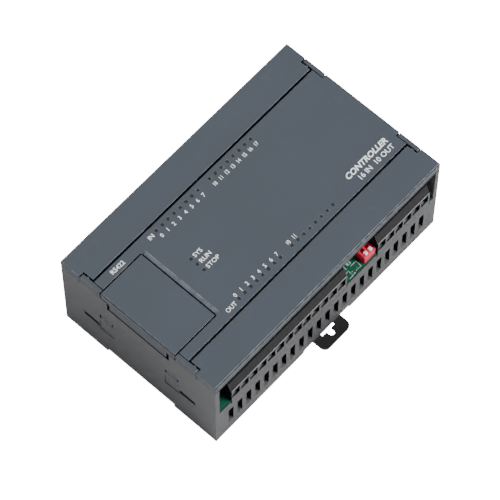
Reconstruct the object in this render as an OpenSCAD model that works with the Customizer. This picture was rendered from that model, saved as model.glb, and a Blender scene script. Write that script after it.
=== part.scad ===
// Compact programmable controller for a 35 mm rail, lying on its back.
// X runs along the rail, Y across it from the output side to the input side,
// Z out of the front face. The origin is at the middle of the bottom of the box.

/* [Housing] */
// Length along the rail
body_w = 129; // [129:0.5:140]
// Height across the rail
body_h = 80; // [80:0.5:90]
// Depth from the rail feet to the front face
body_d = 49.6; // [49:0.2:54]
// Thickness of the side and end walls
wall_t = 2.2; // [1.8:0.1:2.4]
// Gap between neighbouring covers
cover_gap = 0.35; // [0.3:0.05:0.4]

/* [Terminals] */
// Distance between terminals
pitch = 5.08; // [5.08]
// Poles in the long output block
out_long_poles = 13; // [8:1:13]
// Poles in the short output block
out_short_poles = 6; // [3:1:6]
// Poles in the left input block
in_left_poles = 13; // [8:1:13]
// Poles in the right input block
in_right_poles = 9; // [4:1:9]

/* [Rail] */
// Width of the channel for the rail
rail_w = 35.2; // [35.1:0.1:35.4]
// Depth of the channel for the rail
rail_deep = 1.9; // [1.8:0.1:2.2]
// How far the clip's pull tongue stands out of the side wall
tongue_out = 6.3; // [5:0.1:8]

/* [Doors] */
// Width of each terminal door, across the rail
door_w = 14.65; // [14.5:0.05:14.8]
// Thickness of the covers
plate_t = 1.8; // [1.6:0.1:2]
// Length of the port flap along the rail
flap_w = 22.6; // [21:0.1:23]

/* [Hidden] */
$fn = 40;

// Housing
side_top = 22;                            // top edge of the side walls
skirt_low = 44.9;                         // bottom edge of the door skirts
cover_low = skirt_low - 0.1;              // top edge of the end walls
rib_w = 1.6;
rail_hook_len = 20;
floor_t = 2.4;
floor_top = rail_deep + floor_t;
post_w = 4;                               // corner posts under the main board
rail_y0 = (body_h - rail_w) / 2;
rail_y1 = rail_y0 + rail_w;
y_mid = (body_h - tongue_out) / 2;
cut = 1;                                  // how far a cutting shape runs past a face
slit = 0.05;                              // clearance of pieces that only rest on each other

// Hinges of the terminal doors
door_axis_y = 12.5;
door_axis_z = body_d - 1.4;
door_pin_r = 0.88;
door_bore_r = 0.95;
ear_y0 = 10;                              // each hinge ear runs across this stretch of the end wall
ear_y1 = 20.4;
ear_t = 1.8;
ear_slot = 0.8;                           // slot between an ear and the door
ear_seam = 0.25;                          // seam across the end of an ear
cover_y0 = door_w + 1;
cover_top = body_d - 0.05;                // the centre cover lies a print's thickness below the doors

// Port flap
flap_axis_x = 1.3;
flap_axis_z = 43;
flap_pin_r = 0.6;
flap_bore_r = 0.66;
flap_gap = 0.6;
flap_y0 = ear_y1 + flap_gap;
flap_skirt_t = 1.6;
flap_leg_y0 = 25.3;                       // narrow lower part of the flap's skirt
flap_leg_low = 41.6;
flap_shoulder = body_d - 3.55;            // where the skirt widens
cheek_top = flap_shoulder - 0.45;
leg_slot = 1.4;
port_floor_top = 40.3;
port_floor_t = 1.5;

// Boards
board_t = 1.6;
main_z = side_top;
main_top = main_z + board_t;
front_z = 33;
front_top = front_z + board_t;
boss_x = 30;
boss_y = 26;
spacer_places = [for (x = [boss_x, body_w - boss_x], y = [boss_y, body_h - boss_y]) [x, y]];

// Terminal blocks
rib_t = 0.95;
end_trim = 0.65;                          // how much thinner the rib at a block's left end is
ledge_h = 8;                              // height of the ledge over the wire mouths
block_deep = 11.6;
block_h = 14.4;
cell_y = 6.2;                             // screw axis, from the block's front
block_x0 = 8.43;
short_x0 = body_w - 4.6 - out_short_poles * pitch - rib_t;
in_right_x0 = body_w - 4.4 - in_right_poles * pitch - rib_t;
function block_end(x0, poles) = x0 + poles * pitch + rib_t + cover_gap;

// Vent slots in the side walls
vent_count = 23;
vent_w = 2.8;
vent_z0 = 6.7;
vent_z1 = 17.5;
vent_x0 = body_w / 2 - (vent_count - 1) / 2 * pitch;

// Rail clip
clip_w = 15.8;
clip_z0 = 0.45;
clip_t = 1.35;
clip_room = 0.35;
clip_end = rail_y0 - 0.2;
nose_w = 12;
nose_z0 = 0.1;
nose_z1 = 0.8;                            // the rail's edge, 1 mm thick, lies above this

// Snap windows in the end walls, and the slots and pads below them
snap_y0 = 19.4;
snap_y1 = 26.4;
snap_z0 = 26.8;
snap_z1 = 29.6;
slot_y0 = 10.8;
slot_y1 = 19;
slot_z0 = 18.2;
slot_z1 = 20.8;

// Front markings: windows over the indicator lights
led_size = 1.3;
led_pitch = 3.36;
led_x0 = 34;
led_places = [for (i = [0:16]) if (i != 8) led_x0 + i * led_pitch];
in_led_y = 61.75;
out_led_y = 19;
status_led_y = [43.75, 40.35, 36.95];

// DIP switch
dip_x0 = 87;
dip_w = 6.4;
dip_y0 = 1;
dip_len = 9.6;
dip_h = 4.8;
dip_pitch = 2.54;

// Port and mode switch under the flap
port_x = 12.2;
port_y = 47;
port_top = 41.8;
mode_x = 12.2;
mode_y = 29.5;

// Colours
slate = [0.33, 0.36, 0.40];
grey = [0.35, 0.35, 0.36];
dark = [0.12, 0.12, 0.13];
metal = [0.78, 0.79, 0.80];
gold = [0.83, 0.68, 0.37];
green = [0.06, 0.36, 0.24];
red = [0.75, 0.10, 0.20];
white = [0.92, 0.92, 0.90];
clear = [0.45, 0.50, 0.52];

// Moves a shape from the housing's corner to the origin
module placed() translate([-body_w / 2, -y_mid, 0]) children();

// A box from its lowest to its highest corner
module box(low, high) translate(low) cube(high - low);

// A (y, z) outline run along X
module along_x(x0, len) translate([x0, 0, 0]) rotate([90, 0, 90]) linear_extrude(len) children();

// An (x, z) outline run along Y
module along_y(y0, len) translate([0, y0 + len, 0]) rotate([90, 0, 0]) linear_extrude(len) children();

// The same shape on the input side
module input_side() translate([0, body_h, 0]) mirror([0, 1, 0]) children();
module both_sides() {
    children();
    input_side() children();
}

// The same shape at the right end
module right_end() translate([body_w, 0, 0]) mirror([1, 0, 0]) children();
module both_ends() {
    children();
    right_end() children();
}

// ---- Housing ----

module vent_row() {
    for (i = [0:vent_count - 1])
        box([vent_x0 + i * pitch - vent_w / 2, -cut, vent_z0],
            [vent_x0 + i * pitch + vent_w / 2, wall_t + cut, vent_z1]);
}

// End wall up to the skirts of the covers, with its two hinge ears
module end_wall(top) {
    box([0, 0, 0], [wall_t, body_h, top]);
    both_sides() box([0, ear_y0, 0], [ear_t, ear_y1, body_d]);
}

// Left end wall, lower under the flap, with a cheek beside each of the flap's pins
module flap_end_wall() {
    end_wall(port_floor_top + 0.2);
    both_sides() {
        box([0, 0, 0], [wall_t, flap_leg_y0 - leg_slot, cover_low]);
        box([0, ear_y1 - 1, cover_low - 1], [wall_t, flap_leg_y0 - leg_slot, cheek_top]);
    }
}

// Hook over the fixed edge of the rail
module rail_hook(x0) {
    box([x0, rail_y1 - 2, 0], [x0 + rail_hook_len, rail_y1 + wall_t, nose_z1]);
}

// Rib under the floor
module foot_rib(x) {
    box([x - rib_w / 2, 0, 0], [x + rib_w / 2, rail_y0, floor_top]);
}

// Guide rib beside the clip, with a lip that holds the clip up
module clip_guide() {
    x0 = body_w / 2 - clip_w / 2 - clip_room;
    foot_rib(x0 - rib_w / 2);
    box([x0 - slit, wall_t + 1, 0], [x0 + 1, rail_y0 - wall_t - 1, clip_z0 - 0.1]);
}

// Lip of the side wall in front of a bare stretch of the main board
module board_lip(x0, x1) {
    box([x0, 0, side_top - slit], [x1, 0.45, main_top]);
}

module housing_shell() {
    box([0, 0, rail_deep], [body_w, body_h, floor_top]);
    both_sides() {
        box([0, 0, 0], [body_w, wall_t, side_top]);
        box([0, rail_y0 - wall_t, 0], [body_w, rail_y0, floor_top]);
        both_ends() for (x = [body_w / 7, body_w * 2 / 7]) foot_rib(x);
        both_ends() box([wall_t - slit, wall_t - slit, floor_top - slit], [wall_t + post_w, wall_t + post_w, main_z]);
    }
    both_ends() clip_guide();
    input_side() foot_rib(body_w / 2);
    board_lip(0, block_x0);
    board_lip(block_end(block_x0, out_long_poles), short_x0);
    board_lip(block_end(short_x0, out_short_poles), body_w);
    input_side() {
        board_lip(0, block_x0);
        board_lip(block_end(block_x0, in_left_poles), in_right_x0);
        board_lip(block_end(in_right_x0, in_right_poles), body_w);
    }
    flap_end_wall();
    right_end() end_wall(cover_low);
    both_ends() rail_hook(24);
    for (p = spacer_places)
        translate([p[0], p[1], floor_top - slit]) cylinder(r = 3.2, h = main_z - floor_top + slit);
}

module housing_cuts() {
    both_sides() vent_row();
    // channel for the rail
    both_ends() box([-cut, rail_y0, -cut], [wall_t + cut, rail_y1, rail_deep]);
    // notch and guide for the clip
    along_y(-cut, wall_t + 2 * cut)
        polygon([[body_w / 2 - 14, -cut], [body_w / 2 + 14, -cut], [body_w / 2 + 14, 0],
                 [body_w / 2 + 12.6, 1.85], [body_w / 2 - 12.6, 1.85], [body_w / 2 - 14, 0]]);
    box([body_w / 2 - clip_w / 2 - 0.3, rail_y0 - wall_t - cut, -cut],
        [body_w / 2 + clip_w / 2 + 0.3, rail_y0 + cut, rail_deep]);
    // hinge bores of the doors, closed towards the outside
    both_sides() both_ends()
        translate([0.5, door_axis_y, door_axis_z]) rotate([0, 90, 0]) cylinder(r = door_bore_r, h = ear_t);
    // trimmed corner of each ear, for the door to swing past
    both_sides() both_ends()
        along_x(-cut, ear_t + 2 * cut)
            polygon([[ear_y0 - 0.01, body_d - 0.6], [ear_y0 + 0.6, body_d + 0.01], [ear_y0 - 0.01, body_d + 0.01]]);
    // hinge bores of the flap
    both_sides()
        translate([flap_axis_x, flap_leg_y0 - leg_slot - 1.2, flap_axis_z])
            rotate([-90, 0, 0]) cylinder(r = flap_bore_r, h = 2);
    // snap windows and lower slots in the end walls
    both_sides() both_ends() {
        box([-cut, snap_y0, snap_z0], [wall_t + cut, snap_y1, snap_z1]);
        box([-cut, slot_y0, slot_z0], [wall_t + cut, slot_y1, slot_z1]);
        box([-cut, snap_y0 - 0.2, slot_z0 - 1.4], [0.3, snap_y1 + 0.2, snap_z0 - 2.4]);
    }
    // pilot holes for the spacers' studs
    for (p = spacer_places) translate([p[0], p[1], main_z - 8]) cylinder(r = 1.5, h = 8 + cut);
}

module base_housing() placed() color(grey)
    difference() {
        housing_shell();
        housing_cuts();
    }

// ---- Covers ----

// Outline of the centre cover's top plate
module cover_plate() {
    box([ear_t + cover_gap, cover_y0, body_d - plate_t], [body_w - ear_t - cover_gap, body_h - cover_y0, cover_top]);
    box([body_w / 2, flap_y0, body_d - plate_t], [body_w, body_h - flap_y0, cover_top]);
    box([body_w - flap_skirt_t, flap_y0, skirt_low], [body_w, body_h - flap_y0, cover_top]);
}

// Walls between the terminal bays and the boards
module bay_wall() {
    box([wall_t + cover_gap, cover_y0, main_top + 0.1],
        [body_w - wall_t - cover_gap, cover_y0 + 1.5, body_d - plate_t + slit]);
}

// Snap arm that reaches into a window of the end wall
module snap_arm() {
    box([wall_t + 0.2, snap_y0 + 0.8, snap_z0 - 0.2], [wall_t + 1.5, snap_y1 - 0.8, port_floor_top]);
    along_y(snap_y0 + 0.8, snap_y1 - snap_y0 - 1.6)
        polygon([[0.15, snap_z1 - 0.8], [wall_t + 0.3, snap_z1 - 0.8], [wall_t + 0.3, snap_z0 + 0.2],
                 [0.15, snap_z0 + 0.2]]);
}

// Tray under the flap that holds the port and the mode switch
module port_tray() {
    wall_x = flap_w + cover_gap;
    box([wall_t + 0.2, flap_y0 - 1.6, port_floor_top - port_floor_t],
        [wall_x + 1.4, body_h - flap_y0 + 1.6, port_floor_top]);
    box([wall_x, flap_y0 - 1.6, port_floor_top - slit],
        [wall_x + 1.4, body_h - flap_y0 + 1.6, body_d - plate_t + slit]);
    both_sides() box([wall_t + 0.2, flap_y0 - 1.75, port_floor_top - slit],
                     [wall_x + 1.4, flap_y0 - cover_gap, body_d - plate_t + slit]);
}

module cover_cuts() {
    wall_x = flap_w + cover_gap;
    // room for the flap
    box([-cut, ear_y1, port_floor_top], [wall_x, body_h - ear_y1, body_d + cut]);
    // sloping finger recess beside the flap
    along_y(flap_y0, body_h - 2 * flap_y0)
        polygon([[wall_x - cut, body_d - 1.2], [wall_x, body_d - 1.2], [wall_x + 2.1, body_d + 0.02],
                 [wall_x + 2.1, body_d + cut], [wall_x - cut, body_d + cut]]);
    // windows for the light pipes
    for (x = led_places, y = [in_led_y, out_led_y]) window(x, y);
    for (y = status_led_y) window(led_x0, y);
    // port and mode switch
    translate([port_x, port_y, port_floor_top - port_floor_t - cut]) cylinder(r = 5.2, h = port_floor_t + 2 * cut);
    box([mode_x - 1.5, mode_y - 3, port_floor_top - port_floor_t - cut],
        [mode_x + 1.5, mode_y + 3, port_floor_top + cut]);
}

module window(x, y) {
    translate([x, y, body_d - plate_t - cut / 2]) linear_extrude(plate_t + cut) square(led_size, center = true);
}

module centre_cover() placed() color(slate)
    difference() {
        union() {
            cover_plate();
            both_sides() bay_wall();
            port_tray();
            both_sides() snap_arm();
            both_sides() right_end() {
                snap_arm();
                box([wall_t + 0.2, snap_y0 + 0.8, port_floor_top - slit], [wall_t + 1.5, snap_y1 - 0.8, body_d - plate_t + slit]);
            }
        }
        cover_cuts();
    }

// Terminal door, drawn on the output side
module door() {
    inner_x = ear_t + ear_slot;
    rim = 1.5;                            // thickness of the skirt
    difference() {
        along_x(0, body_w)
            polygon([[0, skirt_low], [0, body_d - 1.5], [0.22, body_d - 1.35], [0, body_d - 1.2],
                     [0, body_d - 0.45], [0.45, body_d], [door_w, body_d], [door_w, body_d - plate_t],
                     [rim, body_d - plate_t], [rim, skirt_low]]);
        both_ends() box([-cut, ear_y0 - ear_seam, skirt_low - cut], [inner_x, door_w + cut, body_d + cut]);
    }
    both_ends() {
        box([0, 0.3, skirt_low], [rim, ear_y0 - ear_seam, body_d - plate_t + slit]);
        // knuckle and pin
        translate([inner_x, door_axis_y, door_axis_z]) rotate([0, 90, 0]) cylinder(r = 1.38, h = 4);
        translate([0.7, door_axis_y, door_axis_z]) rotate([0, 90, 0]) cylinder(r = door_pin_r, h = inner_x);
    }
}

module output_door() placed() color(slate) door();
module input_door() placed() color(slate) input_side() door();

module port_flap() placed() color(slate) {
    y1 = body_h - flap_y0;
    rib = 1.2;
    along_y(flap_y0, y1 - flap_y0)
        polygon([[0, flap_shoulder], [0, body_d - 0.45], [0.45, body_d], [flap_w, body_d],
                 [flap_w, body_d - plate_t + 0.1], [flap_skirt_t, body_d - plate_t + 0.1],
                 [flap_skirt_t, flap_shoulder]]);
    box([0, flap_leg_y0, flap_leg_low], [flap_skirt_t, body_h - flap_leg_y0, flap_shoulder + slit]);
    both_sides() {
        box([flap_skirt_t - slit, flap_y0 + 1.2, body_d - 3.4], [flap_w - 1.5, flap_y0 + 1.2 + rib, body_d - plate_t + 0.15]);
        translate([flap_axis_x, flap_leg_y0 - leg_slot - 1, flap_axis_z])
            rotate([-90, 0, 0]) cylinder(r = flap_pin_r, h = leg_slot + 1.2);
        along_y(flap_leg_y0, 1.5) polygon([[flap_axis_x - 1.1, flap_axis_z - 1], [flap_skirt_t + 0.6, flap_axis_z - 0.8],
                                            [flap_skirt_t + 0.6, flap_axis_z + 0.8], [flap_axis_x - 1.1, flap_axis_z + 1.8]]);
    }
}

// ---- Rail clip ----

module clip_outline() {
    r = 2.6;
    x0 = body_w / 2 - clip_w / 2;
    x1 = body_w / 2 + clip_w / 2;
    difference() {
        union() {
            translate([x0, r - tongue_out]) square([clip_w, clip_end - r + tongue_out]);
            translate([x0 + r, -tongue_out]) square([clip_w - 2 * r, r + 1]);
            for (x = [x0 + r, x1 - r]) translate([x, r - tongue_out]) circle(r);
        }
        // pull hole, a bar with a round-ended stem
        translate([body_w / 2 - 3.75, -1.05]) square([7.5, 1.35]);
        translate([body_w / 2 - 1.4, -2.4]) square([2.8, 2]);
        translate([body_w / 2, -2.4]) circle(1.4);
        // slits that free the two spring arms
        for (s = [-1, 1]) {
            translate([body_w / 2 + s * (clip_w / 2 - 2.4) - 0.5, 5]) square([1, 12.5]);
            translate([body_w / 2 + s * (clip_w / 2 - 1.2) - 1.3, 16.5]) square([2.6, 1.2]);
        }
        translate([body_w / 2 - 3, 6]) square([6, 9]);
    }
}

module rail_clip() placed() color(dark) {
    translate([0, 0, clip_z0]) linear_extrude(clip_t) clip_outline();
    along_x(body_w / 2 - nose_w / 2, nose_w)
        polygon([[clip_end - 2, clip_z0 + 0.3], [clip_end - 1, nose_z0], [clip_end + 1.9, nose_z0],
                 [clip_end + 1.9, nose_z0 + 0.3], [clip_end + 1.4, nose_z1], [clip_end - 2, nose_z1]]);
}

// ---- Boards ----

function cell_x(x0, i) = x0 + rib_t + i * pitch + (pitch - rib_t) / 2;
out_cells = concat([for (i = [0:out_long_poles - 1]) cell_x(block_x0, i)],
                   [for (i = [0:out_short_poles - 1]) cell_x(short_x0, i)]);
in_cells = concat([for (i = [0:in_left_poles - 1]) cell_x(block_x0, i)],
                  [for (i = [0:in_right_poles - 1]) cell_x(in_right_x0, i)]);
pin_r = 0.5;
pin_hole_r = 0.62;

module main_board() placed() color(green)
    difference() {
        box([wall_t + 0.2, 0.6, main_z + slit / 5], [body_w - wall_t - 0.2, body_h - 0.6, main_top]);
        for (x = out_cells) translate([x, cell_y, main_z - cut]) cylinder(r = pin_hole_r, h = board_t + 2 * cut);
        input_side()
            for (x = in_cells) translate([x, cell_y, main_z - cut]) cylinder(r = pin_hole_r, h = board_t + 2 * cut);
        for (p = spacer_places) translate([p[0], p[1], main_z - cut]) cylinder(r = 1.6, h = board_t + 2 * cut);
    }

module front_board() placed() color(green)
    difference() {
        box([4.2, 17.3, front_z], [body_w - 4.2, body_h - 17.3, front_top]);
        for (p = spacer_places) translate([p[0], p[1], front_z - cut]) cylinder(r = 1.6, h = board_t + 2 * cut);
    }

// Hexagonal spacers, each with a stud that screws into the housing
module board_spacers() placed() color(gold)
    for (p = spacer_places) translate([p[0], p[1], main_top])
        difference() {
            union() {
                cylinder(r = 3.1, h = front_z - main_top, $fn = 6);
                translate([0, 0, -board_t - 6]) cylinder(r = 1.45, h = board_t + 6.1);
            }
            translate([0, 0, front_z - main_top - 5]) cylinder(r = 1.25, h = 5 + cut);
        }

module board_screws() placed() color(metal)
    for (p = spacer_places) translate([p[0], p[1], front_top])
        difference() {
            union() {
                cylinder(r = 2.75, h = 1.8);
                translate([0, 0, -board_t - 4]) cylinder(r = 1.2, h = board_t + 4.1);
            }
            for (a = [0, 90]) rotate([0, 0, a]) box([-1.6, -0.35, 0.9], [1.6, 0.35, 1.8 + cut]);
        }

link_x = 58;
link_y = [22.5, 52.5];
link_pins = 10;
link_pitch = 2.54;

module link_grid() for (j = [0:1], i = [0:link_pins - 1], y = link_y)
    translate([link_x + i * link_pitch, y + j * link_pitch, 0]) children();

module board_link_socket() placed() color(dark)
    difference() {
        for (y = link_y) box([link_x - 1.5, y - 1.25, main_top],
                             [link_x + (link_pins - 1) * link_pitch + 1.5, y + link_pitch + 1.25, main_top + 6.6]);
        link_grid() translate([-0.42, -0.42, main_top + 1.5]) cube([0.84, 0.84, 6]);
    }

module board_link_header() placed() color(gold) {
    for (y = link_y) box([link_x - 1.3, y - 1.25, front_z - 2.4],
                         [link_x + (link_pins - 1) * link_pitch + 1.3, y + link_pitch + 1.25, front_z]);
    link_grid() translate([-0.32, -0.32, front_z - 2.4 - 5]) cube([0.64, 0.64, 5.1]);
}

// ---- Terminal blocks ----

// Side outline of a block, from its front face at y = 0 and the board's top at z = 0
module block_profile() {
    lip = main_z - main_top + slit;
    polygon([[0.05, lip], [0.05, ledge_h], [0.4, ledge_h], [2, ledge_h + 4.6], [2.9, block_h],
             [block_deep, block_h], [block_deep, 0], [0.5, 0], [0.5, lip]]);
}

// Wire chamber with a floor that slopes in from the mouth
module wire_chamber() {
    polygon([[-cut, 2.6], [0.05, 2.45], [1.15, 0.85], [9.6, 0.85], [9.6, 6.4], [2.3, 6.4],
             [0.7, ledge_h - 0.6], [-cut, ledge_h - 0.6]]);
}

module terminal_block(x0, poles) {
    difference() {
        translate([0, 0, main_top]) along_x(x0 + end_trim, poles * pitch + rib_t - end_trim) block_profile();
        for (i = [0:poles - 1]) {
            translate([0, 0, main_top]) along_x(x0 + rib_t + i * pitch, pitch - rib_t) wire_chamber();
            translate([cell_x(x0, i), cell_y, main_top + 6]) cylinder(r = 1.85, h = block_h);
            translate([cell_x(x0, i), cell_y, main_top - cut]) cylinder(r = pin_hole_r, h = 2 * cut);
        }
    }
}

module output_block_long() placed() color(grey) terminal_block(block_x0, out_long_poles);
module output_block_short() placed() color(grey) terminal_block(short_x0, out_short_poles);
module input_block_left() placed() color(grey) input_side() terminal_block(block_x0, in_left_poles);
module input_block_right() placed() color(grey) input_side() terminal_block(in_right_x0, in_right_poles);

// Slotted clamping screws, one in each well
module terminal_screws(xs) for (x = xs) translate([x, cell_y, main_top])
    difference() {
        union() {
            translate([0, 0, 9.2]) cylinder(r = 1.7, h = 1.9);
            translate([0, 0, 4.2]) cylinder(r = 1.15, h = 5.1);
        }
        box([-2, -0.3, 10.3], [2, 0.3, 12]);
    }

module output_terminal_screws() placed() color(metal) terminal_screws(out_cells);
module input_terminal_screws() placed() color(metal) input_side() terminal_screws(in_cells);

// Clamp cages with their solder pins
module wire_clamps(xs) for (x = xs) translate([x, cell_y, main_top])
    difference() {
        union() {
            box([-1.9, -2.6, 1], [1.9, 2.6, 6.4]);
            translate([0, 0, -2.8]) cylinder(r = pin_r, h = 4);
        }
        box([-1.3, -2.6 - cut, 1.6], [1.3, 2.6 + cut, 5.2]);
        translate([0, 0, 4]) cylinder(r = 1.2, h = 4);
    }

module output_wire_clamps() placed() color(metal) wire_clamps(out_cells);
module input_wire_clamps() placed() color(metal) input_side() wire_clamps(in_cells);

// ---- DIP switch ----

dip_slot_w = 1.6;
dip_slot_len = 4;
dip_travel = 2;
dip_mid_y = 2.45;                         // middle of the lever slots, from the switch's front
function dip_x(i) = dip_x0 + dip_w / 2 + (i - 0.5) * dip_pitch;

module dip_switch_body() placed() color(red)
    difference() {
        translate([0, 0, main_top]) along_x(dip_x0, dip_w)
            polygon([[dip_y0, 0.3], [dip_y0, dip_h - 0.5], [dip_y0 + 0.5, dip_h], [dip_y0 + dip_len - 0.5, dip_h],
                     [dip_y0 + dip_len, dip_h - 0.5], [dip_y0 + dip_len, 0], [dip_y0 + 0.3, 0]]);
        for (i = [0, 1])
            box([dip_x(i) - dip_slot_w / 2, dip_y0 + dip_mid_y - dip_slot_len / 2, main_top + dip_h - 2],
                [dip_x(i) + dip_slot_w / 2, dip_y0 + dip_mid_y + dip_slot_len / 2, main_top + dip_h + cut]);
    }

module dip_lever(i) {
    lever_len = dip_slot_len - dip_travel - 0.2;
    y0 = dip_y0 + dip_mid_y - dip_slot_len / 2 + 0.1;
    z0 = main_top + dip_h;
    along_x(dip_x(i) - dip_slot_w / 2 + 0.1, dip_slot_w - 0.2)
        polygon([[y0, z0 - 1.9], [y0 + lever_len, z0 - 1.9], [y0 + lever_len, z0 + 0.3],
                 [y0 + lever_len - 0.3, z0 + 0.6], [y0 + 0.3, z0 + 0.6], [y0, z0 + 0.3]]);
}

module dip_lever_1() placed() color(white) dip_lever(0);
module dip_lever_2() placed() color(white) dip_lever(1);

// ---- Port and mode switch under the flap ----

module mode_switch_body() placed() color(metal)
    difference() {
        box([mode_x - 2.2, mode_y - 4.3, front_top], [mode_x + 2.2, mode_y + 4.3, port_floor_top - port_floor_t - 0.2]);
        box([mode_x - 1.1, mode_y - 2.2, front_top + 2], [mode_x + 1.1, mode_y + 2.2, port_floor_top]);
    }

mode_travel = 2;
module mode_switch_lever() placed() color(dark)
    box([mode_x - 1, mode_y - 2.1, front_top + 2.1], [mode_x + 1, mode_y - 2.1 + 4.2 - mode_travel, port_floor_top + 1.6]);

port_hole_places = [for (a = [0:45:315]) [2.4 * cos(a + 22.5), 2.4 * sin(a + 22.5)]];

// Moulded socket body with its core and eight contact holes
module port_body() placed() color(dark)
    translate([port_x, port_y, 0]) difference() {
        union() {
            box([-7, -7, front_top], [7, 7, front_top + 3.6]);
            translate([0, 0, front_top + 3.5]) cylinder(r = 4.1, h = port_top - front_top - 4);
        }
        for (p = port_hole_places) translate([p[0], p[1], front_top + 2]) cylinder(r = 0.45, h = 10);
        box([-0.9, 2.9, front_top + 4], [0.9, 5, port_top + cut]);
        box([-1.1, -1.1, port_top - 3], [1.1, 0.3, port_top + cut]);
    }

module port_shell() placed() color(metal)
    translate([port_x, port_y, front_top + 3.6]) difference() {
        union() {
            cylinder(r = 5, h = port_top - front_top - 3.6);
            translate([0, 0, 0]) box([-6.6, -6.6, 0], [6.6, 6.6, 0.5]);
        }
        translate([0, 0, -cut]) cylinder(r = 4.6, h = 10);
    }

module port_contacts() placed() color(gold)
    for (p = port_hole_places) translate([port_x + p[0], port_y + p[1], front_top + 2]) cylinder(r = 0.4, h = 3);

// ---- Indicator lights ----

pipe_room = 0.06;
module light_pipe(x, y) {
    translate([x, y, body_d - plate_t - 0.1]) linear_extrude(plate_t - 0.15) square(led_size - 2 * pipe_room, center = true);
    translate([x, y, front_top + 1]) cylinder(r = 0.9, h = body_d - plate_t - front_top - 1.05);
}

module input_light_pipes() placed() color(clear) for (x = led_places) light_pipe(x, in_led_y);
module output_light_pipes() placed() color(clear) for (x = led_places) light_pipe(x, out_led_y);
module status_light_pipes() placed() color(clear) for (y = status_led_y) light_pipe(led_x0, y);

module led(x, y) translate([x, y, front_top]) linear_extrude(0.7) square([0.8, 1.6], center = true);
module indicator_leds() placed() color(white) {
    for (x = led_places, y = [in_led_y, out_led_y]) led(x, y);
    for (y = status_led_y) led(led_x0, y);
}

// ---- Components on the boards ----

module power_capacitors() placed() color(metal)
    for (x = [10, 18, 108]) translate([x, 34, main_top])
        difference() {
            union() {
                cylinder(r = 3.15, h = 7.7);
                box([-3.3, -3.3, 0], [3.3, 3.3, 1]);
            }
            translate([0, 0, 6.9]) rotate_extrude() translate([3.15, 0]) circle(0.25, $fn = 24);
        }

module power_inductor() placed() color(dark)
    translate([112, 48, main_top]) difference() {
        box([-6, -6, 0], [6, 6, 6]);
        translate([0, 0, 5.2]) difference() {
            cylinder(r = 5, h = 2);
            translate([0, 0, -cut]) cylinder(r = 3.4, h = 4);
        }
    }

module chip(x, y, size) translate([x, y, main_top]) translate([-size[0] / 2, -size[1] / 2, 0]) cube(size);
module input_optocouplers() placed() color(dark) for (i = [0:15]) chip(40 + i * 4.6, 59.6, [3.6, 4.4, 2.1]);
module output_transistors() placed() color(dark) for (i = [0:9]) chip(36 + i * 6.6, 33, [5.6, 6, 2.3]);

module processor_chip() placed() color(dark)
    translate([72, 40, front_top]) {
        translate([-5, -5, 0.1]) cube([10, 10, 1.4]);
        for (a = [0:90:270], i = [-7:7]) rotate([0, 0, a]) translate([i * 0.6 - 0.12, 4.9, 0]) cube([0.24, 1.2, 0.5]);
    }

module clock_crystal() placed() color(metal)
    translate([88, 40, front_top]) {
        box([-2.9, -2, 0], [2.9, 2, 3.2]);
        for (x = [-2.9, 2.9]) translate([x, 0, 0]) cylinder(r = 2, h = 3.2);
    }

base_housing();
centre_cover();
output_door();
input_door();
port_flap();
rail_clip();
main_board();
front_board();
board_spacers();
board_screws();
board_link_socket();
board_link_header();
output_block_long();
output_block_short();
input_block_left();
input_block_right();
output_terminal_screws();
input_terminal_screws();
output_wire_clamps();
input_wire_clamps();
dip_switch_body();
dip_lever_1();
dip_lever_2();
mode_switch_body();
mode_switch_lever();
port_body();
port_shell();
port_contacts();
input_light_pipes();
output_light_pipes();
status_light_pipes();
indicator_leds();
power_capacitors();
power_inductor();
input_optocouplers();
output_transistors();
processor_chip();
clock_crystal();
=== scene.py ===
"""Looks for a compact rail-mounted controller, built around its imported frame.

Lengths in the tables are in millimetres from the housing's corner at the output
side, the port flap's end and the rail feet. Blender's own values are in metres.
"""

import math

import bmesh
import bpy
from bpy.props import FloatProperty, FloatVectorProperty, IntProperty, PointerProperty, StringProperty
from mathutils import Matrix, Vector


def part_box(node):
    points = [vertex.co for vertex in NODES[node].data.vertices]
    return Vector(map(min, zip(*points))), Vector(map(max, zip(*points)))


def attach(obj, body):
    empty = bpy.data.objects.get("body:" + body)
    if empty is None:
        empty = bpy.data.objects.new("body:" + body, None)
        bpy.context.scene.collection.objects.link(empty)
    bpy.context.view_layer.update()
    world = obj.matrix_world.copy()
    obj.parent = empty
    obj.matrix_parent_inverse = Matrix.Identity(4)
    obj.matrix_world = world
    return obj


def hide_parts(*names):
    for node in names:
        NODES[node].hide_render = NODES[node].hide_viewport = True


bl_info = {
    "name": "Rail controller looks",
    "version": (1, 0, 0),
    "blender": (4, 5, 0),
    "location": "View3D > Sidebar > Controller",
    "description": "Builds the finished looks of a rail-mounted controller around its packed frame",
    "category": "Object",
}

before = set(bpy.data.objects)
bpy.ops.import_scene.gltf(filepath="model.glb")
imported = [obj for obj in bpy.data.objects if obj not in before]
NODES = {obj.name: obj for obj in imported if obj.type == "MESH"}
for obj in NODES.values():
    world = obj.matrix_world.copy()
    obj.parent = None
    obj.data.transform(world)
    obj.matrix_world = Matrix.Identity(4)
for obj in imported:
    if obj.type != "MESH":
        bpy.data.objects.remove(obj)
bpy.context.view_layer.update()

MM = 0.001
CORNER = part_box("base_housing")[0]
COVER_TOP = (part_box("centre_cover")[1].z - CORNER.z) / MM
BOARD_TOP = (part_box("main_board")[1].z - CORNER.z) / MM
EAR_LOW = (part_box("output_door")[0].z - CORNER.z) / MM
WIDE = (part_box("base_housing")[1].x - CORNER.x) / MM
DEEP = (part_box("base_housing")[1].y - CORNER.y) / MM
WALL = 2.3
TRAY_TOP = 40.3

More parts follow.
